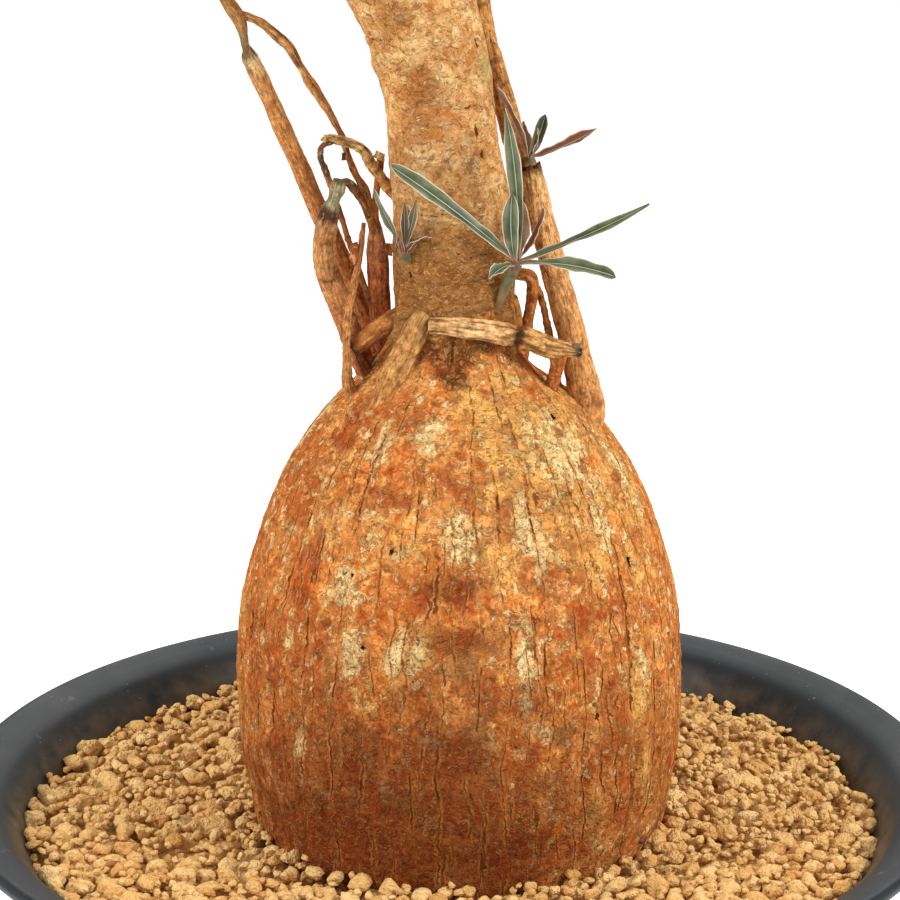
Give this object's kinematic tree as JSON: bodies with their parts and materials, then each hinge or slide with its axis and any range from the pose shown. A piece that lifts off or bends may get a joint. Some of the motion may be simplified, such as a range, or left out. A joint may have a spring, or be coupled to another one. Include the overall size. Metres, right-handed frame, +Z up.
{
  "type": "potted desert rose adenium",
  "caption": "Desert rose succulent with a bottle-shaped bark-covered swollen base, woody stems and narrow grey-green leaf tufts, standing in a wide round plastic bowl of clay granules.",
  "frame": {"origin": "middle of the pot's underside, on the surface that the pot stands on", "axes": "+Z up along the pot's axis; -Y towards the viewer of the picture; +X to the viewer's right"},
  "size_m": [0.24, 0.24, 0.4013],
  "materials": {
    "pot_plastic": "satin dark slate grey, dusty inside",
    "clay_granules": "matte tan baked clay grains",
    "bark": "flaky orange-brown bark with upright cracks",
    "leaf": "grey-green blades with pale edges and midrib"
  },
  "bodies": {
    "root": {"pot": "pot_plastic", "soil": "clay_granules", "adenium": "bark", "shoot_trunk_right": "leaf", "shoot_trunk_left": "leaf", "shoot_side_stem": "leaf", "crown_left": "leaf", "crown_front": "leaf", "crown_back": "leaf", "tip_left_stem": "leaf", "tip_right_stem": "leaf"}
  },
  "joints": []
}
